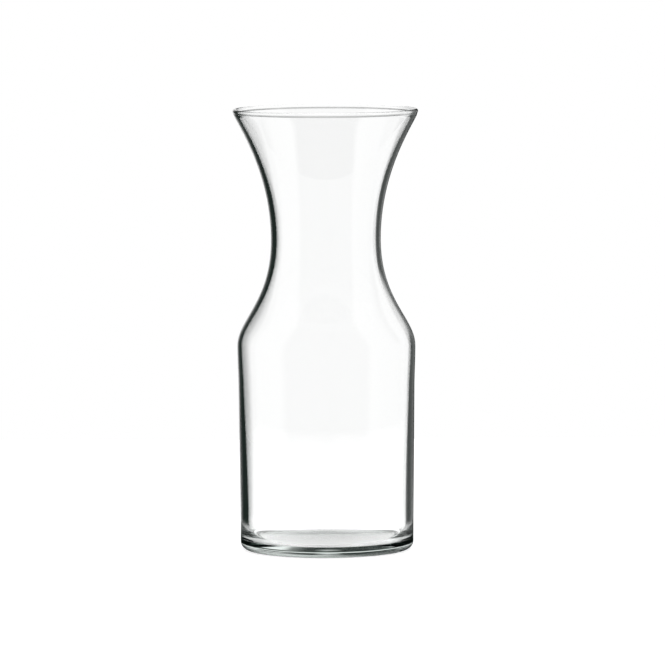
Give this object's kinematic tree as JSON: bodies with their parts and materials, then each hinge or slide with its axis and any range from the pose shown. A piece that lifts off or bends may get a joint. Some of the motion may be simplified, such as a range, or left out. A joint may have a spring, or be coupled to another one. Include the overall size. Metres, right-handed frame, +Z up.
{
  "type": "water carafe",
  "caption": "Clear glass carafe with a straight body, rounded shoulder, waisted neck, wide flared mouth and heavy foot.",
  "frame": {"origin": "centre of the foot, in the plane of the bearing ring that stands on the table", "axes": "+Z up the axis of the carafe, from the foot to the rim; it is round about Z, so X and Y are free"},
  "size_m": [0.107, 0.107, 0.255],
  "materials": {
    "clear_glass": "clear, colourless soda-lime glass, fire polished"
  },
  "bodies": {
    "root": {"carafe_glass": "clear_glass"}
  },
  "joints": []
}
